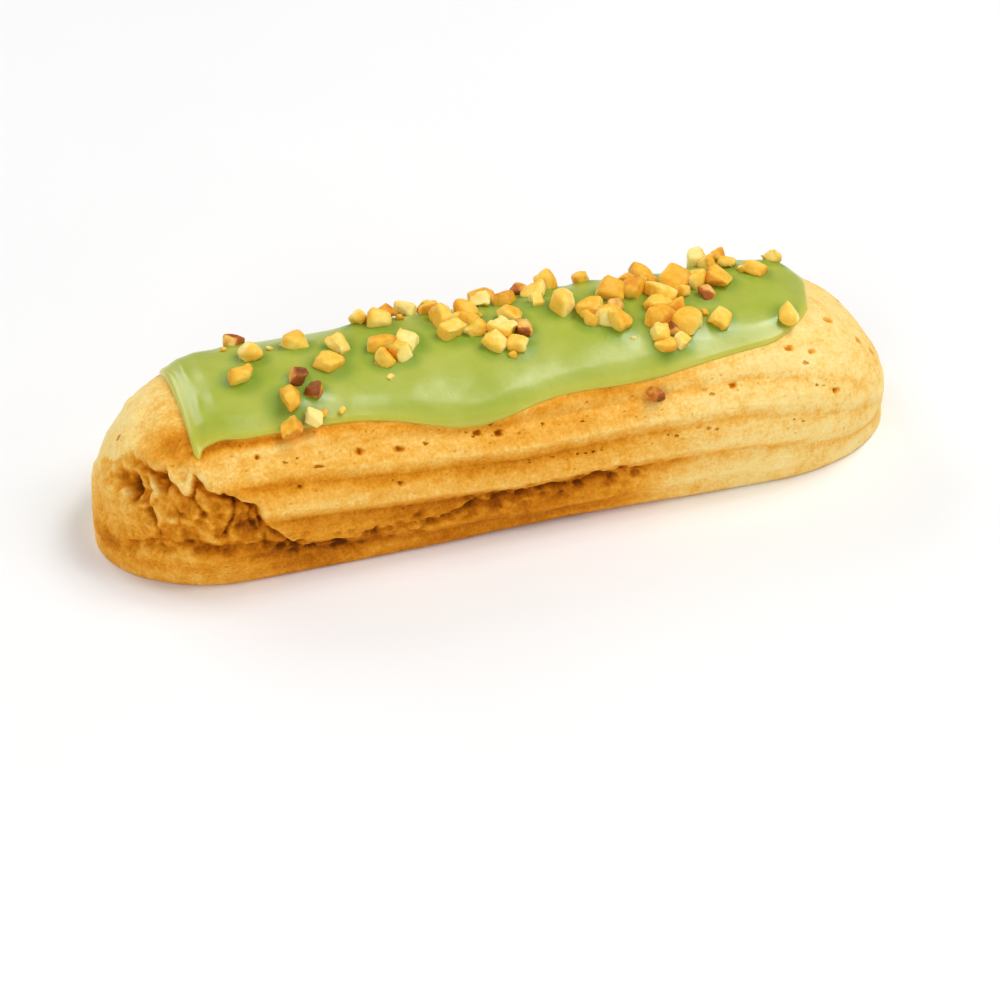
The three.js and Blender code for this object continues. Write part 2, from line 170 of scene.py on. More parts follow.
# Small pits in the front and the smooth end: x, angle and radius
PITS = (
    (-45, 51, 0.5), (-39, 69.5, 0.45), (-28, 57.5, 0.75), (-21.5, 59.5, 0.8), (-22, 78, 0.5),
    (-8, 59, 0.6), (-4.5, 61, 0.75), (36.5, 59, 0.6), (47.5, 45, 0.6), (51.5, 48, 0.7),
    (57, 25, 0.85), (55, 71, 0.75), (62.5, 36.5, 0.8), (65, 42.5, 0.8),
)
PIT_RAGGED = (0.8, 0.3, 37)
PIT_EDGE = (0.5, 1.1)  # radii over which a pit's wall rises

# Strips where small pits are most frequent: middle and half length in x, angle and half angle
PITTED = ((-8, 40, 57, 7), (-8, 60, -68, 26))

# Painted shade in hollows: how dark they look, from 0 to 1
CRACK_SHADES = (0.14, 0.5)  # where the crack is narrow and where it opens into caves
POCK_SHADE = 0.4
PIT_SHADE = 0.8
HOLE_SHADE = 0.3
FOLD_SHADE_DEPTH = 2.8  # depth of a fold that would look wholly dark
DEEPEST_SHADE = 0.9
TIP_VALUE = 0.3

# How far round a place the crust is looked at, and the height above it that shows in full as paler, a
# painted highlight on crests and painted shade in hollows
NEIGHBOUR_REACH = 14
PAINTED_LIGHT_STANDING = 0.5

# Icing coat
ICING_THICKNESS = 1.0
ICING_GAP = 0.3
ICING_ROOT = 0.5
ICING_ROWS = 320
ICING_COLUMNS = 110
ICING_CROWDING = 0.35
EDGE_ROUND = 0.7  # width of the round along the coat's edges, and of the thinner strip inside it
EDGE_STRIP = 4
EDGE_THICKNESS = 0.6
EDGE_SINK = 0.05
THIN_SHARES = (0.3, 0.9)  # shares of the thickness over which the icing stops looking thin
ICING_WAVES = ((9, 0.17, 41), (3, 0.05, 42))
# Ridges beside the end at -X: distance, half width and height
WRINKLES = ((0.9, 0.55, 0.42), (3.0, 0.6, 0.26), (5.8, 0.9, 0.18))
WRINKLE_MEAN = 0.6  # mean share of a ridge's height, and what it swells by
WRINKLE_UNEVEN = (4, 0.6, 43)
WRINKLE_WANDER = (5, 0.4, 44)
DRIP = (-54.1, 5.5, 0.7)  # the drip at the front corner, given as a sag
DRIP_BULGE = 0.35
CREEP = (0.5, 0.6)  # how far icing creeps up a nut, and over how many of its lengths it falls off
NEAR_NUT = (0.45, 1.05)  # distances over which a place stops being near a nut, in its lengths
ICING_START = -54.8
ICING_END = 55.5
ICING_SKEW = 0.08
ICING_CORNER = 10
ICING_BLUNTNESS = 0.85
FRONT_EDGE = 41
BACK_EDGE = 49
# Sags of the icing's edges: x, extra angle and half length
FRONT_SAGS = ((-50, -2, 2.5), (-7, 14.5, 13), (22, 7.5, 16))
BACK_SAGS = ((-34, 8, 12), (6, 10, 15), (42, 6, 9))

# Chopped nuts
NUT_SEED = 2024
NUT_LENGTHS = (3.4, 5.6)
NUT_WIDTHS = (0.62, 0.95)
NUT_HEIGHTS = (0.55, 0.85)
NUT_CHOP = 0.55
NUT_TILT = 35
NUT_SEAT = 0.5
NUT_RADIUS = 17
NUT_SPACING = 0.74
NUT_TRIES = 30
CLUMP_SPREAD = 2.8
NUT_CLUMPS = (
    (-35, 31, 3), (-18, -32, 3), (-18, 4, 5), (-9, -42, 3), (-5.5, -13, 6), (2, -41, 3),
    (1.5, 9, 4), (10, -41, 3), (10.5, -13, 2), (23.5, -20, 3), (18.5, 7, 5), (32, -13, 4),
    (30, 8, 3), (29, 27, 5), (43, -41, 3), (38.5, -9, 3),
)  # x, angle and number
LONE_NUTS = (
    (-44, 1), (-41, -17), (-42, -43), (-33, -23), (-35, 12), (-29, 4), (-26.5, -12), (-38.5, 42),
    (3.5, -12), (19.5, -44), (29, -35), (37, 24), (44, -30), (47.5, -18), (48.7, 28), (52.5, -36),
)  # x and angle
CRUST_NUT = (23, 56)
NUT_CUTS = 5  # how finely a nut is divided, and how often and how far its edges are worn smooth
NUT_WEAR = 2
NUT_WEAR_SHARE = 0.5
NUT_REGROWTH = 1.04
NUT_PUFF = (0.1, 0.55)  # how far the faces of a nut bulge, least and most
NUT_ROUGHNESS = ((1.6, 0.13, 51), (0.7, 0.06, 52))
NUT_CHIPS = (2.1, 53, 0.45, (0.2, 0.45))  # size, salt, depth and swells over which they break off
CRUMBS = 26
CRUMB_LENGTHS = (0.8, 1.7)
CRUMB_SPREAD = (3.2, 9)  # how far from a nut they lie, in mm along the bar and in degrees across
CRUMB_SEED = 8
CRUMB_MARGIN = 4  # how far inside the icing's edges they lie, in mm along it and in degrees across

# Roasting of the nuts, from 0 to 1: least, spread from nut to nut, and more on one cheek
ROASTS = {"golden": (0.15, 0.6, 0.3), "browned": (0.1, 0.2, 0.6)}
CRUST_NUT_ROAST = (0.42, 0, 0.4)
BROWNED_LENGTH = 3.75  # nuts shorter than this keep some of their brown skin
SKIN_EDGE = (-0.2, 0.15)  # how far a face turns to the cheek where the brown skin ends
SKIN_RAGGED = (1.3, 0.3, 64)
# Where the lattice holds each nut's own numbers
ROAST_DRAW = (3, 7, 61)
CHEEK_DRAWS = ((0, 7, 62), (1, 7, 62), (2, 7, 62))
PUFF_DRAW = (5, 7, 63)

# Stage, in metres and watts: place, size and power of each light
LIGHTS = {
    "key": ((0.34, 0.11, 0.68), (0.24, 0.24), 1.5),
    "top": ((0.41, -0.12, 0.72), (0.36, 0.55), 3.1),
    "back_left": ((-0.45, 0.72, 0.5), (0.7, 0.5), 3.6),
    "front_left": ((-0.5, -0.5, 0.4), (0.6, 0.6), 2.7),
    "front_right": ((0.55, -0.6, 0.35), (0.6, 0.5), 1.1),
}
LIGHT_AIM = (0, 0, 0.015)
SKY_STRENGTH = 0.2
FLOOR_HALF = 1.5

# What most values of a noise texture lie between, and a mix node's sockets for colours
NOISE_RANGE = (0.3, 0.7)
MIX_FIRST, MIX_SECOND, MIX_RESULT = 6, 7, 2

# Camera fitted to the photograph
CAMERA_TURN = -17.13
CAMERA_RISE = 38
CAMERA_DISTANCE = 620
CAMERA_LENS = 131.9
CAMERA_HEIGHT = HEIGHT / 2 + 0.75  # height of the point on the bar's axis that it was fitted to
CAMERA_AIM = (0.6, -16.7)  # the frame's middle from that point, to the right and upwards


def smooth_step(value, low, high):
    t = np.clip((value - low) / (high - low), 0, 1)
    return t * t * (3 - 2 * t)


def bell(distance):
    return np.exp(-distance * distance)


def falling(value, span):
    """1 below a span of values and 0 above it."""
    return 1 - smooth_step(value, *span)


def between(value, start, end):
    """1 between two spans of values and 0 outside them."""
    return smooth_step(value, *start) * falling(value, end)


def blend(pair, share):
    low, high = pair
    return low + (high - low) * share


def highest(shares):
    """The highest of some shares at each place."""
    return np.max(list(shares), axis=0)


def along_line(pairs, x):
    places, values = zip(*pairs)
    return np.interp(x, places, values)


# Noise


def lattice_value(i, j, k, salt):
    """A number from 0 to 1 that belongs to one corner of a unit lattice."""
    i, j, k = (np.asarray(n).astype(np.int64).astype(np.uint32) for n in (i, j, k))
    start = np.uint32(salt * 974634777 % 2**32)
    bits = i * np.uint32(374761393) + j * np.uint32(668265263) + k * np.uint32(1274126177) + start
    bits = (bits ^ (bits >> np.uint32(13))) * np.uint32(1103515245)
    bits = (bits ^ (bits >> np.uint32(15))) * np.uint32(668265263)
    return (bits ^ (bits >> np.uint32(16))) / 2.0**32


def swell(points, size, salt):
    """Smooth noise from -1 to 1."""
    cell = points / size
    base = np.floor(cell)
    share = cell - base
    share = share * share * (3 - 2 * share)
    total = 0
    for way in np.ndindex(2, 2, 2):
        sides = np.where(way, share, 1 - share)
        total = total + sides.prod(axis=-1) * lattice_value(*np.moveaxis(base + way, -1, 0), salt)
    return 2 * total - 1


def swells(points, *layers):
    """Smooth noise in layers, each with its size, height and salt."""
    return sum(height * swell(points, size, salt) for size, height, salt in layers)


def lump(points, size, salt):
    """Rounded lumps with creases between them, from 1 on a lump's top down to about 0."""
    cell = points / size
    nearest = np.ones(points.shape[:-1])
    for way in np.ndindex(3, 3, 3):
        corner = np.floor(cell) + way - 1
        parts = np.moveaxis(corner, -1, 0)
        seat = np.stack([lattice_value(*parts, salt + n) for n in range(3)], axis=-1)
        nearest = np.minimum(nearest, np.linalg.norm(corner + seat - cell, axis=-1))
    return 1 - nearest * nearest


# Surface of the bar


def station(along):
    """Where a share of the way along the bar lies in X, and how full the section is there."""
    way = along * WHOLE_WAY
    torn = np.clip(way / TORN_ARC, 0, 1) * np.pi / 2
    smooth = np.clip((WHOLE_WAY - way) / SMOOTH_ARC, 0, 1) * np.pi / 2
    straight = np.clip(way - TORN_ARC, 0, RUN)
    x = straight - LENGTH / 2 + TORN_END * (1 - np.cos(torn)) + SMOOTH_END * np.cos(smooth)
    return x, np.maximum(np.sin(torn) * np.sin(smooth), LEAST_FULLNESS)


def along_at(x):
    """The share of the way along the bar at a given X."""
    torn = np.arccos(np.clip(1 - (x + LENGTH / 2) / TORN_END, 0, 1))
    smooth = np.arcsin(np.clip((x - LENGTH / 2 + SMOOTH_END) / SMOOTH_END, 0, 1))
    straight = np.clip(x + LENGTH / 2 - TORN_END, 0, RUN)
    return ((torn * TORN_ARC + smooth * SMOOTH_ARC) / (np.pi / 2) + straight) / WHOLE_WAY


def footed(x, z):
    """Rounds the flank into a flat base at z = 0."""
    place, half, extra = FOOT_LIFT
    round_height = FOOT_ROUND + extra * bell((x - place) / half)
    curved = (z + round_height) ** 2 / (4 * round_height)
    return np.where(z >= round_height, z, np.where(z <= -round_height, 0, curved))


def smooth_point(along, angle):
    """A point of the bar without its relief."""
    x, fullness = station(along)
    sine, cosine = np.sin(np.radians(angle)), np.cos(np.radians(angle))
    waist = blend((TIP_HEIGHT, WAIST * HEIGHT), fullness)
    above = (1 - WAIST) * HEIGHT * fullness
    below = WAIST * HEIGHT * BELLY * fullness**BELLY_TAPER
    across = np.abs(sine / (WIDTH / 2 * fullness)) ** SECTION_POWER
    upright = np.abs(cosine / np.where(cosine >= 0, above, below)) ** SECTION_POWER
    radius = (across + upright) ** (-1 / SECTION_POWER)
    return np.stack([x + 0 * radius, -radius * sine, footed(x, waist + radius * cosine)], axis=-1)


def smooth_normal(along, angle):
    """The outward direction of the bar without its relief."""
    step = 1e-3
    place = np.clip(along, 2 * step, 1 - 2 * step)
    lengthways = smooth_point(place + step, angle) - smooth_point(place - step, angle)
    round_bar = smooth_point(place, angle - 1) - smooth_point(place, angle + 1)
    normal = np.cross(lengthways, round_bar)
    normal /= np.linalg.norm(normal, axis=-1, keepdims=True)
    tip = np.where(along < step, -1, 1)[..., None] * (1, 0, 0)
    return np.where(((along < step) | (along > 1 - step))[..., None], tip, normal)


def crest_angle(x):
    """The angle of the reference crest at a given X."""
    sweep = np.maximum(0, SWEEP_START - x)
    return CREST_ANGLE + along_line(CREST_TURNS, x) - SWEEP * sweep * sweep


def groove_share(x, angle, fullness):
    """How far a place lies below the crests beside it, 0 to 1."""
    side = np.abs(angle)
    place = ((side - crest_angle(x)) * FLUTES / 360) % 1
    valley = np.where(place < UNDER_FACE, place / UNDER_FACE, (1 - place) / (1 - UNDER_FACE))
    shown = between(side, GROOVES_FROM, GROOVES_TO)
    return valley * shown * smooth_step(fullness, *GROOVED_FULLNESS)


def groove_relief(x, angle, fullness):
    start, end, extra = LOW_GROOVES
    depth = along_line(GROOVE_DEPTHS, x) * (1 + extra * smooth_step(np.abs(angle), start, end))
    return -depth * groove_share(x, angle, fullness)


def tear_turn(points):
    return np.degrees(np.arctan2(-points[..., 1], TEAR_CENTRE - points[..., 0]))


def tear_share(points):
    """How far the skin is torn away, 0 to 1, and how far below its edge a place lies."""
    turn, height = tear_turn(points), points[..., 2]
    climb = along_line(TEAR_RIM, turn + 0.5) - along_line(TEAR_RIM, turn - 0.5)
    climb = climb / (np.radians(1) * TEAR_RADIUS)
    under = (along_line(TEAR_RIM, turn) - height) / np.sqrt(1 + climb * climb)
    lip = along_line(TEAR_LIP, turn)
    return smooth_step(under, 0, TEAR_EDGE) * smooth_step(height, lip - LIP_ROUND, lip + LIP_ROUND), under


def tear_spot(points, turn, height, half_turn, half_height):
    """How near a place is to the middle of a spot on the torn end, 0 to 1."""
    across = (tear_turn(points) - turn) / half_turn
    return bell(np.hypot(across, (points[..., 2] - height) / half_height))


def hole_share(points):
    return tear_spot(points, *TEAR_HOLE[:-1])


def tear_relief(points):
    turn = tear_turn(points)
    share, under = tear_share(points)
    crease = TEAR_CREASE * bell(under / TEAR_EDGE - 1) * smooth_step(turn, *CREASE_FROM)
    size, lump_height, salt = TEAR_LUMP
    lumps = lump_height * smooth_step(turn, *LUMPS_FROM) * (lump(points, size, salt) - 0.5)
    return share * (lumps - along_line(TEAR_DEPTHS, turn) - crease - TEAR_HOLE[-1] * hole_share(points))


def main_relief(points, x, angle, fullness):
    """The relief that the solid has too."""
    relief = groove_relief(x, angle, fullness) + tear_relief(points) + swells(points, *SWELLS)
    return relief * smooth_step(points[..., 2], 0, RELIEF_FROM)


def crust_point(along, angle, outside=0):
    """A point of the crust with its main relief, or of a layer at a given distance outside it."""
    along, angle = np.broadcast_arrays(along, angle)
    x, fullness = station(along)
    points = smooth_point(along, angle)
    relief = main_relief(points, x, angle, fullness) + outside
    return points + smooth_normal(along, angle) * relief[..., None]


# Fine relief of the crust


def line_distance(points, places):
    """Distance in the plane from each place to a line through some points."""
    nearest = np.full(places.shape[:-1], np.inf)
    for start, end in zip(points, points[1:]):
        run = end - start
        share = np.clip(((places - start) @ run) / (run @ run), 0, 1)
        nearest = np.minimum(nearest, np.linalg.norm(places - start - share[..., None] * run, axis=-1))
    return nearest


def fold_relief(points):
    """Creases and soft ridges of the torn dough."""
    scale = np.radians(1) * TEAR_RADIUS
    turn = tear_turn(points) + swells(points, FOLD_TURN_WANDER)
    height = points[..., 2] + swells(points, FOLD_HEIGHT_WANDER)
    places = np.stack([turn * scale, height], axis=-1)
    relief = np.zeros(points.shape[:-1])
    for line, depth, half_width in FOLDS:
        away = line_distance(np.array(line) * (scale, 1), places) / half_width
        relief -= depth * (np.exp(-away) if depth > 0 else bell(away))
    return relief


def fibre_relief(points):
    """Upright strands drawn out as the dough tore."""
    bent = points + swells(points, FIBRE_BEND)[..., None]
    return swells(bent * FIBRE_STRETCH, FIBRES) + swells(points, FIBRE_GRAIN)


def bubble_relief(points):
    """Broken bubbles of the torn dough, bowls with sharp walls between them."""
    bent = points + swells(points, BUBBLE_BEND)[..., None]
    bowls = sum(depth * smooth_step(lump(bent, size, salt), *BUBBLE_BOWL) for size, depth, salt in BUBBLES)
    return -bowls * smooth_step(tear_turn(points), *BUBBLES_FROM)


def fine_relief(points, x, angle):
    """Small unevenness of the skin, and faint lines along the piping."""
    side = np.abs(angle)
    across = np.radians(side - crest_angle(x)) * WIDTH / 2
    lines = swells(np.stack([END_LINE_STRETCH * x, across, 0 * x], axis=-1), END_LINES)
    lines = lines * between(x, *END_LINES_ALONG) * smooth_step(side, *END_LINES_FROM)
    return swells(points * STREAK_STRETCH, STREAKS) + lines + swells(points, *FINE_SWELLS)


def curled_rim(points, under):
    """The skin's edge curls outwards along the tear."""
    height, above, half_width = CURL
    return height * bell((under + above) / half_width) * between(tear_turn(points), CREASE_FROM, CURL_TO)


def crumb_relief(points):
    """Crumbly places of the torn dough."""
    share = highest(height * tear_spot(points, *spot) for *spot, height in CRUMBLY)
    return share * swells(points, *CRUMB_SWELLS)


def cave_share(points, x, angle):
    """How far the crack gapes along its length, 0 to 1."""
    place = np.where(angle > 0, x, BACK_CAVES - x) + swells(points, CAVE_WANDER)
    return highest(opening * bell((place - middle) / half) for middle, half, opening in CAVES)


def crack_relief(points, x, angle):
    """Crack low on both flanks, a hairline or caves, and the painted shade of its hollows, 0 to 1."""
    gape = cave_share(points, x, angle)
    along = between(x, *CRACK_ALONG)
    size, salt, opening = CRACK_BREAKS
    shown = np.maximum(gape, smooth_step(swell(points, size, salt), *opening)) * along
    away = np.abs(np.abs(angle) - along_line(CRACK, x) + swells(points, *CRACK_WANDER))
    inside = np.exp(-((away / blend(CRACK_HALF_ANGLES, gape)) ** 3)) * shown
    crack = (blend(CRACK_DEPTHS, gape) + gape * swells(points, CAVE_FLOOR)) * inside
    size, depth, salt = POCKS
    beside = bell(away / POCKS_HALF_ANGLE) * along
    pocks = beside * smooth_step(lump(points * POCK_STRETCH, size, salt), *POCK_BOWL)
    painted_hollow_shade = np.maximum(inside * blend(CRACK_SHADES, gape), POCK_SHADE * pocks)
    return -np.maximum(crack, depth * pocks), painted_hollow_shade


def pinhole_share(x, angle):
    """Where the lines of pinholes run, 0 to 1."""
    side = np.abs(angle) - crest_angle(x)
    return highest(
        bell((side - place) / PINHOLE_HALF_ANGLE)
        * falling(np.abs(x - middle), (PINHOLES_FADE * half, half))
        for middle, half, place in PINHOLES
    )


def pit_share(points):
    """How far inside a pit a place lies, 0 to 1, and the pit's depth there in millimetres."""
    x, angle, radius = np.array(PITS).T
    arms = points[..., None, :] - smooth_point(along_at(x), angle)
    away = np.linalg.norm(arms, axis=-1) / radius + swells(points, PIT_RAGGED)[..., None]
    inside = falling(away, PIT_EDGE)
    return inside.max(axis=-1), (radius * inside).max(axis=-1)


def pitted_share(x, angle):
    """How frequent small pits are at a place, 0 to 1."""
    return highest(
        bell((x - middle) / half) * bell((angle - place) / half_angle)
        for middle, half, place, half_angle in PITTED
    )


# Meshes


def grid_faces(rows, columns, start=0, closed=False):
    """Quads of a grid of vertices, wrapped round in its columns if it is closed."""
    row = np.arange(rows - 1)[:, None] * columns
    column = np.arange(columns if closed else columns - 1)[None, :]
    after = (column + 1) % columns
    quads = np.stack([row + column, row + after, row + columns + after, row + columns + column], axis=-1)
    return (start + quads.reshape(-1, 4)).tolist()


def put_in_scene(name, data):
    made = bpy.data.objects.new(name, data)
    bpy.context.scene.collection.objects.link(made)
    return made


def mesh_piece(name, points, faces, values, material, slot, *nodes):
    """Makes a smooth-shaded piece with named numbers at its vertices, in place of some nodes."""
    mesh = bpy.data.meshes.new(name)
    mesh.from_pydata((points * MM).tolist(), [], faces)
    for key, numbers in values.items():
        layer = mesh.attributes.new(key, "FLOAT", "POINT")
        layer.data.foreach_set("value", np.asarray(numbers, np.float32))
    mesh.polygons.foreach_set("use_smooth", np.ones(len(mesh.polygons), bool))
    mesh.materials.append(material)
    mesh.update()
    piece = put_in_scene(name, mesh)
    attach(piece, "root")
    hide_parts(*nodes)


def choux_rows():
    """Shares of the way along the bar, closest together at the torn end."""
    x, before, after = FINE_ROWS
    middle = along_at(x)
    rows = [np.linspace(0, middle, before, endpoint=False), np.linspace(middle, 1, after)]
    return np.concatenate(rows)[1:-1]


def choux_columns():
    """Angles once round the bar, closest on the front and widest apart on the base."""
    angles = np.concatenate([np.linspace(*stretch, endpoint=False) for stretch in COLUMNS])
    return np.where(angles < -180, angles + 360, angles)


def bar_faces(rows, columns):
    """Faces of a grid wrapped round the bar, with fans to its two tips."""
    first, last = rows * columns, rows * columns + 1
    ring = [(n, (n + 1) % columns) for n in range(columns)]
    faces = grid_faces(rows, columns, closed=True)
    faces += [(first, b, a) for a, b in ring]
    faces += [(last, first - columns + a, first - columns + b) for a, b in ring]
    return faces


def height_above_neighbours(relief):
    """How far each place of a grid stands out from the places round it."""
    mean = relief
    for _ in range(NEIGHBOUR_REACH):
        padded = np.pad(mean, ((1, 1), (0, 0)), mode="edge")
        mean = (padded[:-2] + padded[2:] + np.roll(mean, 1, axis=1) + np.roll(mean, -1, axis=1)) / 4
    return relief - mean


def foot_toast(points, x, pale_end):
    """Brown towards the foot, least at the torn end, with bands along it."""
    height = points[..., 2]
    along_bar = blend((0.162, 0.414), smooth_step(x, -58, -36)) * (1 - 0.85 * pale_end)
    bands = swells(points * (0.3, 1, 1), (2.4, 0.16, 73))
    return falling(height, (4, 14)) * along_bar + falling(height, (3, 9)) * bands


def painted_groove_shade(x, angle, groove, pale_end):
    """Painted shade, as brown in the grooves below the icing."""
    shown = np.maximum(smooth_step(np.abs(angle), 57, 66), pale_end)
    along_bar = smooth_step(x, -60, -44) * (1 - 0.6 * pale_end)
    return 0.42 * (groove * shown) ** 1.5 * along_bar


def icing_edge_painted_shadow(x, angle, pale_end):
    """Painted shadow as brown in a strip beside the icing's edges, most of all near the end at -X."""
    edge = np.where(angle > 0, icing_edge(x, FRONT_EDGE, FRONT_SAGS), icing_edge(x, BACK_EDGE, BACK_SAGS))
    strip = bell((np.abs(angle) - edge - 2) / 3) * between(x, (-58, -52), (50, 58))
    near_end = bell((x + 48) / 8)
    return (0.22 + 0.4 * near_end) * strip * (1 - 0.5 * pale_end)


def torn_end_toast_and_painted_light(points, x, angle, torn):
    """Brown torn dough, a brown patch above it, and paler skin round the rest of that end, a painted
    highlight.
    """
    patch = bell((x + 55) / 6.5) * bell((angle - 32) / 12)
    # painted highlight: paler skin on the far side of this end
    painted_far_side_light = falling(x, (-62, -50)) * falling(tear_turn(points), (-50, 36)) * (1 - 0.6 * torn)
    bulge = falling(x, (-66, -58)) * smooth_step(points[..., 2], 4, 9)
    return 0.2 * torn + 0.52 * patch - 0.26 * painted_far_side_light - 0.16 * bulge


def toast_and_painted_light_share(points, x, angle, groove, torn, standing_for_painted_light):
    """How brown the crust looks, about 0 to 1: baked brown, with painted highlight and painted shade added
    in.
    """
    torn = torn * smooth_step(tear_turn(points), -30, 12)
    pale_end = smooth_step(x, 4, 40)
    toast_and_painted_light = 0.2 + swells(points, (14, 0.1, 71), (5, 0.07, 72))
    # the smooth end is paler, and more so low down, where the extra paleness is painted light against the
    # shade there
    toast_and_painted_light -= pale_end * blend((0.3, 0.2), smooth_step(points[..., 2], 6, 16))
    # the groove term is painted shade
    toast_and_painted_light += foot_toast(points, x, pale_end) + painted_groove_shade(x, angle, groove, pale_end)
    toast_and_painted_light += icing_edge_painted_shadow(x, angle, pale_end) + torn_end_toast_and_painted_light(points, x, angle, torn)
    # painted highlight on what stands out and painted shade in what lies lower
    return toast_and_painted_light - blend((0.11, 0.27), torn) * np.clip(standing_for_painted_light / PAINTED_LIGHT_STANDING, -1, 1)


def crust_relief(points, x, angle, fullness):
    """All relief of the crust, how far each place is torn, and the painted shade of its hollows."""
    above_base = smooth_step(points[..., 2], 0, RELIEF_FROM)
    jagged = points + swells(points, *TEAR_RAGGED)[..., None] * (0, 0, 1)
    torn, under = tear_share(jagged)
    main = main_relief(jagged, x, angle, fullness) + curled_rim(points, under) * above_base
    dough = fold_relief(points) + torn * (fibre_relief(points) + bubble_relief(points))
    folds = (dough + crumb_relief(points)) * above_base
    crack, painted_hollow_shade = crack_relief(points, x, angle)
    place, half = TIP_ROUGHNESS
    roughness = 1 + TORN_ROUGHNESS * torn + bell((x - place) / half)
    fine = fine_relief(points, x, angle) * above_base * roughness
    in_pit, pit_depth = pit_share(points)
    relief = main + folds + crack * above_base + fine - pit_depth
    # painted shade: the crust's colour is darkened in the crack, pits, the hole and the folds' creases
    shade = painted_hollow_shade + PIT_SHADE * in_pit + HOLE_SHADE * torn * hole_share(points)
    shade = shade - np.minimum(folds, 0) / FOLD_SHADE_DEPTH
    return relief, torn, np.clip(shade, 0, DEEPEST_SHADE)


def choux_piece(material):
    along, angle = np.meshgrid(choux_rows(), choux_columns(), indexing="ij")
    x, fullness = station(along)
    smooth = smooth_point(along, angle)
    relief, torn, shade = crust_relief(smooth, x, angle, fullness)
    groove = groove_share(x, angle, fullness)
    values = {
        "toast_and_painted_light": toast_and_painted_light_share(smooth, x, angle, groove, torn, height_above_neighbours(relief)),
        "painted_cavity_shade": shade,
        "pinholes": pinhole_share(x, angle),
        "pitted": pitted_share(x, angle),
    }
    values = {key: np.append(numbers, [TIP_VALUE] * 2) for key, numbers in values.items()}
    crust = smooth + smooth_normal(along, angle) * relief[..., None]
    tips = crust_point((0, 1), 0)
    points = np.concatenate([crust.reshape(-1, 3), tips])
    mesh_piece("choux_crust", points, bar_faces(*along.shape), values, material, "choux", "choux")


# Icing


def icing_edge(x, base, sags):
    return base + sum(extra * bell((x - place) / half) for place, extra, half in sags)


def corner_share(x):
    over = np.clip((x - ICING_END + ICING_CORNER) / ICING_CORNER, 0, 1)
    return np.sqrt(1 - ICING_BLUNTNESS * over * over)


def edge_share(inside):
    """The icing's thickness a given distance inside one of its edges, as a share of the whole."""
    short = 1 - np.clip(inside / EDGE_ROUND, 0, 1)
    thin = blend((EDGE_THICKNESS, 1), smooth_step(inside, 0, EDGE_STRIP))
    return np.sqrt(1 - short * short) * thin


def nut_creep(points, nuts):
    """How far the icing creeps up round the nuts in millimetres, and how near they are, 0 to 1."""
    away = [np.linalg.norm(points - nut["middle"], axis=-1) / nut["length"] for nut in nuts]
    nearest = np.min(away, axis=0)
    height, reach = CREEP
    return height * bell(nearest / reach), falling(nearest, NEAR_NUT)


def icing_waves(points, x, angle):
    """Low waves, the wrinkles beside the end at -X and the drip at the front corner."""
    waves = swells(points, *ICING_WAVES)
    share = WRINKLE_MEAN + swells(points, WRINKLE_UNEVEN)
    wander = swells(points, WRINKLE_WANDER)
    for place, half, height in WRINKLES:
        waves = waves + height * share * bell((x - ICING_START - place - wander) / half)
    place, length, half = DRIP
    bulge = DRIP_BULGE * bell((x - place) / half) * smooth_step(angle, FRONT_EDGE - length, FRONT_EDGE)
    return waves + bulge


def crowded(number):
    """Numbers from 0 to 1 that lie close together at both ends."""
    return (1 - np.cos(np.pi * np.linspace(0, 1, number))) / 2


def coat_faces(rows, columns):
    """Faces of a coat: its top, its underside and the strip between their rims."""
    count = rows * columns
    rim = list(range(columns)) + [r * columns + columns - 1 for r in range(1, rows)]
    rim += [count - 1 - n for n in range(1, columns)] + [r * columns for r in range(rows - 2, 0, -1)]
    sides = [(a, b, b + count, a + count) for a, b in zip(rim, rim[1:] + rim[:1])]
    return [quad[::-1] for quad in grid_faces(rows, columns)] + grid_faces(rows, columns, count) + sides


def icing_piece(material, nuts):
    lengths = blend((np.linspace(0, 1, ICING_ROWS), crowded(ICING_ROWS)), ICING_CROWDING)
    length_share, width_share = np.meshgrid(lengths, crowded(ICING_COLUMNS), indexing="ij")
    x = blend((ICING_START, ICING_END), length_share)
    front = icing_edge(x, FRONT_EDGE, (*FRONT_SAGS, DRIP)) * corner_share(x)
    back = -icing_edge(x, BACK_EDGE, BACK_SAGS) * corner_share(x)
    angle = blend((front, back), width_share)
    along = along_at(x - ICING_SKEW * angle * length_share**2)
    side_room = np.minimum(width_share, 1 - width_share) * np.radians(front - back) * NUT_RADIUS
    end_room = np.minimum(x - ICING_START, ICING_END - x)
    share = edge_share(side_room) * edge_share(end_room)
    under = crust_point(along, angle, -ICING_ROOT)
    top = crust_point(along, angle, share * (ICING_THICKNESS + ICING_GAP) - EDGE_SINK)
    creep, near = nut_creep(top, nuts)
    raised = share * (icing_waves(top, x, angle) + creep)
    top = top + smooth_normal(along, angle) * raised[..., None]
    points = np.concatenate([top.reshape(-1, 3), under.reshape(-1, 3)])
    values = {
        "thin": np.append(falling(share, THIN_SHARES), np.ones(x.size)),
        # painted shadow: icing near the nuts is given a darker green
        "near": np.append(near, np.zeros(x.size)),
    }
    mesh_piece("icing_coat", points, coat_faces(*x.shape), values, material, "icing", "icing")


# Nuts


class SeededDraw:
    """The same sequence of numbers from 0 to 1 as the one behind the solids (mulberry32)."""

    def __init__(self, seed):
        self.state = seed

    def __call__(self, low=0.0, high=1.0):
        word = 2**32 - 1
        self.state = self.state + 0x6D2B79F5 & word
        t = (self.state ^ self.state >> 15) * (self.state | 1) & word
        t ^= t + ((t ^ t >> 7) * (t | 61) & word) & word
        return low + (high - low) * (t ^ t >> 14) / 2**32


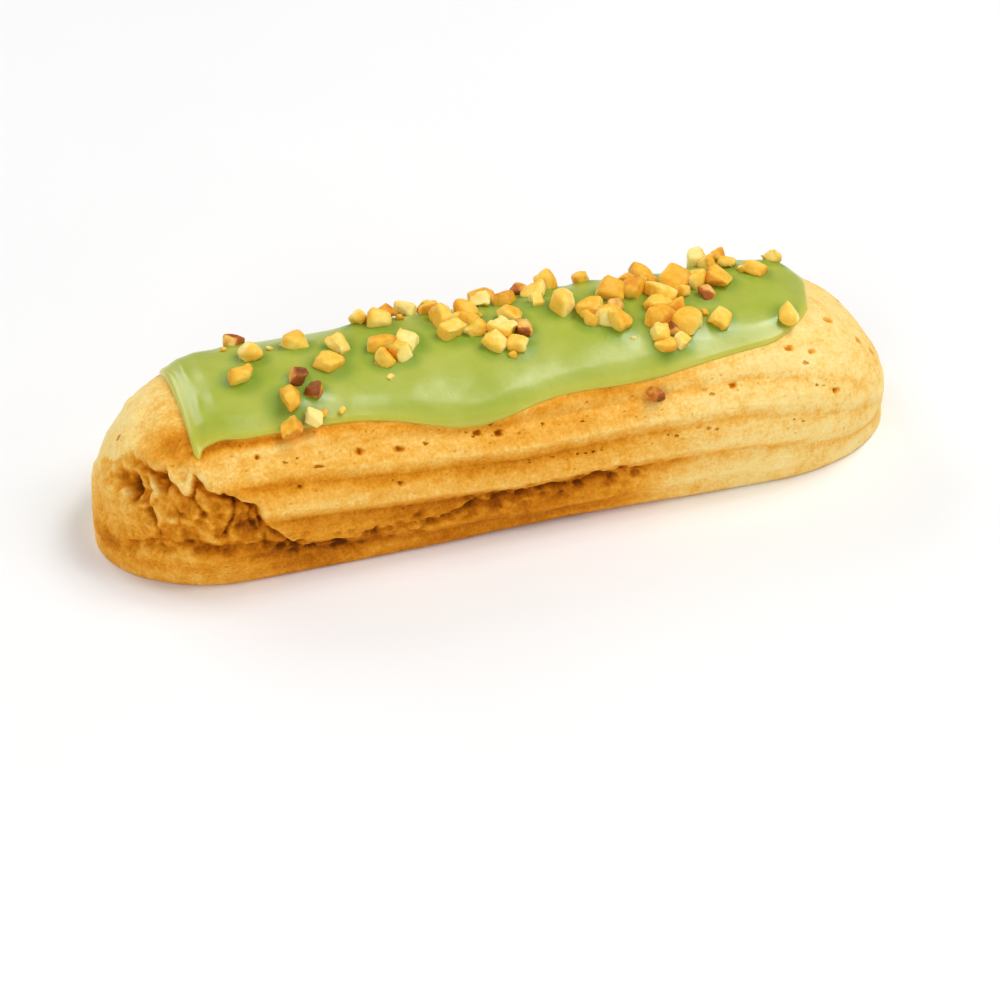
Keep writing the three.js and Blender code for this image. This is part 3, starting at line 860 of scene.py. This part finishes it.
def nut_places(draw):
    """Each clump in turn, nut by nut, clear of those already placed where it can be."""
    places = []

    def room_round(x, angle, length):
        rooms = (
            2 * np.hypot(x - x2, np.radians(angle - angle2) * NUT_RADIUS) / (length + length2)
            for x2, angle2, length2 in places
        )
        return min(rooms, default=np.inf)

    def place(x, angle, spread):
        length = draw(*NUT_LENGTHS)
        reach = np.degrees(spread / NUT_RADIUS)
        best, best_room = None, -1.0
        for _ in range(NUT_TRIES):
            nut = (x + draw(-spread, spread), angle + draw(-reach, reach), length)
            room = room_round(*nut)
            if room >= best_room:
                best, best_room = nut, room
            if best_room >= NUT_SPACING:
                break
        places.append(best)

    for x, angle in LONE_NUTS:
        place(x, angle, 0)
    for x, angle, number in NUT_CLUMPS:
        for _ in range(number):
            place(x, angle, CLUMP_SPREAD)
    return places


def nut_shape(draw, x, angle, length, layer):
    """Corners of one chopped nut where it lies, with its middle and its length."""
    half = np.array([1, draw(*NUT_WIDTHS), draw(*NUT_HEIGHTS)]) * length / 2
    signs = [[1 if n & bit else -1 for bit in (1, 2, 4)] for n in range(8)]
    corners = [[sign * draw(1 - NUT_CHOP, 1) for sign in row] * half for row in signs]
    along = along_at(x)
    normal = Vector(smooth_normal(along, angle))
    turn = Vector((0, 0, 1)).rotation_difference(normal).to_matrix()
    tilts = [np.radians(draw(-NUT_TILT, NUT_TILT)) for _ in range(2)]
    spin = np.radians(draw(0, 360))
    turn = turn @ Matrix.Rotation(spin, 3, "Z") @ Matrix.Rotation(tilts[1], 3, "Y")
    turn = turn @ Matrix.Rotation(tilts[0], 3, "X")
    middle = crust_point(along, angle, layer + NUT_SEAT * half[2])
    corners = [np.array(turn @ Vector(corner)) + middle for corner in corners]
    return {"corners": corners, "middle": middle, "length": length, "place": (x, angle)}


def all_nuts():
    """The nuts in the icing and, last, the one on the crust."""
    draw = SeededDraw(NUT_SEED)
    draw()
    layer = ICING_GAP + ICING_THICKNESS
    nuts = [nut_shape(draw, *place, layer) for place in nut_places(draw)]
    return nuts + [nut_shape(draw, *CRUST_NUT, NUT_LENGTHS[0], 0)]


def crumb_shapes(nuts):
    """Small crumbs of nut that lie about near the nuts."""
    draw = np.random.default_rng(CRUMB_SEED)
    shape_draw = SeededDraw(CRUMB_SEED)
    crumbs = []
    for near in draw.integers(0, len(nuts) - 1, CRUMBS):
        x, angle = nuts[near]["place"] + draw.normal(size=2) * CRUMB_SPREAD
        x = np.clip(x, ICING_START + CRUMB_MARGIN, ICING_END - ICING_CORNER)
        angle = np.clip(angle, CRUMB_MARGIN - BACK_EDGE, FRONT_EDGE - CRUMB_MARGIN)
        length = draw.uniform(*CRUMB_LENGTHS)
        crumbs.append(nut_shape(shape_draw, x, angle, length, ICING_GAP + ICING_THICKNESS))
    return crumbs


def worn_block(corners):
    """Points, normals and faces of a chopped block with worn edges."""
    block = bmesh.new()
    for corner in corners:
        block.verts.new(corner)
    hull = bmesh.ops.convex_hull(block, input=block.verts)
    spare = [part for part in hull["geom_interior"] if isinstance(part, bmesh.types.BMVert)]
    bmesh.ops.delete(block, geom=spare, context="VERTS")
    bmesh.ops.subdivide_edges(block, edges=block.edges, cuts=NUT_CUTS, use_grid_fill=True)
    bmesh.ops.triangulate(block, faces=block.faces)
    axes = {"use_axis_x": True, "use_axis_y": True, "use_axis_z": True}
    for _ in range(NUT_WEAR):
        bmesh.ops.smooth_vert(block, verts=block.verts, factor=NUT_WEAR_SHARE, **axes)
    bmesh.ops.recalc_face_normals(block, faces=block.faces)
    block.verts.index_update()
    block.normal_update()
    points = np.array([vert.co for vert in block.verts])
    normals = np.array([vert.normal for vert in block.verts])
    faces = [[vert.index for vert in face.verts] for face in block.faces]
    block.free()
    return points, normals, faces


def nut_mesh(nut, number):
    """Points, normals and faces of one nut: a worn block with bulging faces and chips."""
    points, normals, faces = worn_block(nut["corners"])
    arms = points - nut["middle"]
    reach = np.linalg.norm(arms, axis=-1, keepdims=True)
    puff = blend(NUT_PUFF, lattice_value(number, *PUFF_DRAW))
    points = nut["middle"] + arms * NUT_REGROWTH * (1 + puff * (1 - reach / reach.max()))
    grain = min(1, nut["length"] / NUT_LENGTHS[0])
    size, salt, depth, breaking = NUT_CHIPS
    chips = depth * smooth_step(swell(points, size, salt), *breaking)
    relief = grain * (swells(points, *NUT_ROUGHNESS) - chips)
    return points + normals * relief[:, None], normals, faces


def roast_share(nut, kind, number, points, normals):
    """How brown a nut is over its surface: more roasted, or left with its skin, on one cheek."""
    cheek = np.array([lattice_value(number, *draw) - 0.5 for draw in CHEEK_DRAWS])
    facing = normals @ (cheek / np.linalg.norm(cheek))
    if kind == "browned":
        facing = smooth_step(facing + swells(points, SKIN_RAGGED), *SKIN_EDGE)
    least, spread, more = CRUST_NUT_ROAST if nut["place"] == CRUST_NUT else ROASTS[kind]
    return least + spread * lattice_value(number, *ROAST_DRAW) + more * facing


def nut_pieces(nuts, materials):
    """One piece for the golden nuts and one for those with brown skin."""
    kinds = {"golden": [], "browned": []}
    for number, nut in enumerate(nuts):
        browned = CRUMB_LENGTHS[1] < nut["length"] < BROWNED_LENGTH
        kinds["browned" if browned else "golden"].append((number, nut))
    for kind, members in kinds.items():
        points, faces, roasts, count = [], [], [], 0
        for number, nut in members:
            block, normals, sides = nut_mesh(nut, number)
            points.append(block)
            faces += [[count + n for n in side] for side in sides]
            count += len(block)
            roasts.append(roast_share(nut, kind, number, block, normals))
        values = {"roast": np.concatenate(roasts)}
        nodes = ("icing", "choux") if kind == "browned" else ("icing",)
        mesh_piece(f"nuts_{kind}", np.concatenate(points), faces, values, materials[kind], "nuts", *nodes)


# Materials


class Nodes:
    """A new material's nodes, made and joined by short calls."""

    def __init__(self, name):
        self.material = bpy.data.materials.new(name)
        self.material.use_nodes = True
        self.tree = self.material.node_tree
        self.shader = self.tree.nodes["Principled BSDF"]

    def add(self, kind, settings=None, **inputs):
        node = self.tree.nodes.new(kind)
        for key, value in (settings or {}).items():
            setattr(node, key, value)
        for key, value in inputs.items():
            self.join(value, node.inputs[key.replace("_", " ")])
        return node

    def join(self, value, socket):
        if isinstance(value, bpy.types.NodeSocket):
            self.tree.links.new(value, socket)
        else:
            socket.default_value = value

    def place(self):
        return self.add("ShaderNodeTexCoord").outputs["Object"]

    def number(self, name):
        return self.add("ShaderNodeAttribute", {"attribute_name": name}).outputs["Fac"]

    def noise(self, size, detail=3.0, roughness=0.55, stretch=(1, 1, 1)):
        place = self.stretched(stretch)
        inputs = {"Vector": place, "Scale": 1 / (size * MM), "Detail": detail, "Roughness": roughness}
        return self.add("ShaderNodeTexNoise", **inputs).outputs["Fac"]

    def varied(self, low, high, **noise):
        """Noise spread over the values from low to high."""
        return self.span(self.noise(**noise), *NOISE_RANGE, low, high)

    def stretched(self, factors):
        return self.vector_math("MULTIPLY", self.place(), factors)

    def pores(self, size, chance, radius):
        """Ragged pores in a share of the cells of a given size, 1 inside a pore and 0 outside."""
        push = self.add("ShaderNodeTexNoise", Vector=self.place(), Scale=1.2 / (radius * MM), Detail=3.0)
        push = self.vector_math("MULTIPLY", push.outputs["Color"], [1.6 * radius * MM] * 3)
        moved = self.vector_math("ADD", self.stretched((0.7, 1, 1)), push)
        cells = self.add("ShaderNodeTexVoronoi", Vector=moved, Scale=1 / (size * MM))
        draw = self.add("ShaderNodeSeparateColor", Color=cells.outputs["Color"])
        reach = self.span(draw.outputs["Green"], 0, 1, 0.4 * radius / size, radius / size)
        pore = self.span(self.math("DIVIDE", cells.outputs["Distance"], reach), 0.65, 1, 1, 0)
        return self.math("MULTIPLY", pore, self.math("LESS_THAN", draw.outputs["Red"], chance))

    def math(self, operation, *values, kind="ShaderNodeMath"):
        node = self.add(kind, {"operation": operation})
        for socket, value in zip(node.inputs, values):
            self.join(value, socket)
        return node.outputs[0]

    def vector_math(self, operation, *values):
        return self.math(operation, *values, kind="ShaderNodeVectorMath")

    def span(self, value, low, high, to_low=0.0, to_high=1.0):
        names = ("Value", "From Min", "From Max", "To Min", "To Max")
        node = self.add("ShaderNodeMapRange", {"clamp": True})
        for key, number in zip(names, (value, low, high, to_low, to_high)):
            self.join(number, node.inputs[key])
        return node.outputs["Result"]

    def mix(self, share, first, second):
        node = self.add("ShaderNodeMix", {"data_type": "RGBA"})
        self.join(share, node.inputs["Factor"])
        self.join(first, node.inputs[MIX_FIRST])
        self.join(second, node.inputs[MIX_SECOND])
        return node.outputs[MIX_RESULT]

    def ramp(self, value, *stops):
        """Colours along a value, each stop with its place and its 8-bit display values."""
        node = self.add("ShaderNodeValToRGB", Fac=value)
        elements = node.color_ramp.elements
        while len(elements) < len(stops):
            elements.new(0.5)
        for element, (place, *shade) in zip(elements, stops):
            element.position = place
            element.color = colour(*shade)
        return node.outputs["Color"]

    def bump(self, height, strength, distance):
        node = self.add("ShaderNodeBump", Height=height, Strength=strength, Distance=distance * MM)
        return node.outputs["Normal"]

    def finish(self, **inputs):
        for key, value in inputs.items():
            self.join(value, self.shader.inputs[key.replace("_", " ")])
        return self.material


def colour(*display):
    """A colour given in 8-bit display values, as the linear light that a shader takes."""
    shares = [value / 255 for value in display]
    linear = [s / 12.92 if s <= 0.04045 else ((s + 0.055) / 1.055) ** 2.4 for s in shares]
    return (*linear, 1)


def choux_material():
    nodes = Nodes("baked_choux")
    blotch = nodes.varied(-0.1, 0.1, size=2.6, detail=4)
    lines = nodes.varied(-0.05, 0.05, size=1.1, roughness=0.5, stretch=(0.1, 1, 1))
    grain = nodes.varied(-0.15, 0.15, size=0.6, detail=4, roughness=0.7)
    mottle = nodes.math("ADD", nodes.math("ADD", blotch, lines), grain)
    chance = nodes.span(nodes.number("pitted"), 0, 1, 0.04, 1)
    pits = nodes.pores(size=3.2, chance=chance, radius=0.7)
    in_lines = nodes.pores(size=1.0, chance=0.5, radius=0.4)
    in_lines = nodes.math("MULTIPLY", in_lines, nodes.number("pinholes"))
    pinholes = nodes.math("MULTIPLY", nodes.pores(size=1.1, chance=0.45, radius=0.22), 0.35)
    pores = nodes.math("MAXIMUM", nodes.math("MAXIMUM", pits, in_lines), pinholes)
    # the crust's colour from baking, with painted highlight and painted shade in it
    baked_and_painted_light = nodes.math("MULTIPLY_ADD", nodes.math("ADD", nodes.number("toast_and_painted_light"), mottle), 0.7, 0.175)
    # painted shade: pores and hollows darken the crust's colour
    painted_hollow_shade = nodes.math("MAXIMUM", nodes.number("painted_cavity_shade"), nodes.math("MULTIPLY", pores, 0.8))
    crust = nodes.ramp(
        nodes.math("MULTIPLY_ADD", painted_hollow_shade, 0.55, baked_and_painted_light),
        (0.0, 255, 232, 162),
        (0.175, 254, 217, 130),
        (0.315, 247, 187, 82),
        (0.49, 232, 155, 38),
        (0.665, 204, 121, 12),
        (0.875, 158, 84, 2),
        (1.0, 104, 50, 1),
    )
    height = nodes.math("SUBTRACT", nodes.math("MULTIPLY", nodes.noise(0.9, 6, 0.7), 0.7), pores)
    return nodes.finish(
        Base_Color=crust,
        Roughness=nodes.varied(0.55, 0.72, size=3),
        Specular_IOR_Level=0.07,
        Subsurface_Weight=0.1,
        Subsurface_Radius=(1.0, 0.45, 0.15),
        Subsurface_Scale=0.0015,
        Normal=nodes.bump(height, strength=0.8, distance=0.6),
    )


def icing_material():
    nodes = Nodes("green_icing")
    mottle = nodes.varied(0.0, 1.0, size=9)
    green = nodes.mix(mottle, colour(160, 174, 44), colour(178, 186, 72))
    # painted shadow: deeper green round the nuts
    green = nodes.mix(nodes.math("MULTIPLY", nodes.number("near"), 0.65), green, colour(104, 146, 18))
    green = nodes.mix(nodes.math("MULTIPLY", nodes.number("thin"), 0.7), green, colour(214, 198, 62))
    ripple = nodes.bump(nodes.noise(2.2, 4, 0.6), strength=0.3, distance=0.3)
    return nodes.finish(
        Base_Color=green,
        Roughness=nodes.varied(0.34, 0.46, size=5, detail=4),
        Coat_Weight=0.4,
        Coat_Roughness=0.2,
        Subsurface_Weight=0.3,
        Subsurface_Radius=(0.8, 1.0, 0.25),
        Subsurface_Scale=0.0015,
        Normal=ripple,
    )


def nut_material(name, *stops):
    nodes = Nodes(name)
    grain = nodes.varied(-0.16, 0.16, size=1.1, detail=4)
    return nodes.finish(
        Base_Color=nodes.ramp(nodes.math("ADD", nodes.number("roast"), grain), *stops),
        Roughness=nodes.varied(0.4, 0.6, size=1.6),
        Specular_IOR_Level=0.3,
        Subsurface_Weight=0.25,
        Subsurface_Radius=(1.0, 0.6, 0.2),
        Subsurface_Scale=0.0015,
        Normal=nodes.bump(nodes.noise(0.5, 4, 0.6), strength=0.35, distance=0.2),
    )


def nut_materials():
    golden = nut_material(
        "golden_nut",
        (0.0, 254, 230, 142),
        (0.3, 250, 206, 82),
        (0.65, 240, 178, 46),
        (1.0, 214, 132, 28),
    )
    browned = nut_material(
        "browned_nut",
        (0.0, 244, 204, 108),
        (0.3, 218, 152, 58),
        (0.5, 188, 100, 18),
        (1.0, 118, 66, 22),
    )
    return {"golden": golden, "browned": browned}


def floor_material():
    nodes = Nodes("pale_floor")
    pale = nodes.mix(nodes.noise(60, 2), colour(241, 241, 241), colour(245, 245, 245))
    return nodes.finish(Base_Color=pale, Roughness=0.6)


# Stage


def make_floor(material):
    mesh = bpy.data.meshes.new("floor")
    corners = [(x * FLOOR_HALF, y * FLOOR_HALF, 0) for x, y in ((-1, -1), (1, -1), (1, 1), (-1, 1))]
    mesh.from_pydata(corners, [], [(0, 1, 2, 3)])
    mesh.materials.append(material)
    floor = put_in_scene("floor", mesh)


def soft_light(name, place, size, power):
    data = bpy.data.lights.new(name, "AREA")
    data.shape = "RECTANGLE"
    data.size, data.size_y = size
    data.energy = power
    lamp = put_in_scene(name, data)
    lamp.location = place
    lamp.rotation_euler = (Vector(LIGHT_AIM) - Vector(place)).to_track_quat("-Z", "Y").to_euler()


def make_lights():
    for name, (place, size, power) in LIGHTS.items():
        soft_light(name, place, size, power)
    world = bpy.data.worlds.new("studio")
    world.use_nodes = True
    background = world.node_tree.nodes["Background"]
    background.inputs["Color"].default_value = (1, 1, 1, 1)
    background.inputs["Strength"].default_value = SKY_STRENGTH
    bpy.context.scene.world = world
    bpy.context.scene.view_settings.view_transform = "Standard"


def make_camera():
    turn, rise = np.radians(CAMERA_TURN), np.radians(CAMERA_RISE)
    back = Vector((np.sin(turn) * np.cos(rise), -np.cos(turn) * np.cos(rise), np.sin(rise)))
    right = Vector((np.cos(turn), np.sin(turn), 0))
    up = back.cross(right)
    aim = Vector((0, 0, CAMERA_HEIGHT)) + right * CAMERA_AIM[0] + up * CAMERA_AIM[1]
    data = bpy.data.cameras.new("camera")
    data.lens = CAMERA_LENS
    camera = put_in_scene("camera", data)
    camera.matrix_world = Matrix((right, up, back)).transposed().to_4x4()
    camera.location = (aim + back * CAMERA_DISTANCE) * MM
    bpy.context.scene.camera = camera


def main():
    nuts = all_nuts()
    choux_piece(choux_material())
    icing_piece(icing_material(), nuts[:-1])
    nut_pieces(nuts + crumb_shapes(nuts), nut_materials())
    make_floor(floor_material())
    make_lights()
    make_camera()
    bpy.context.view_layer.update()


main()
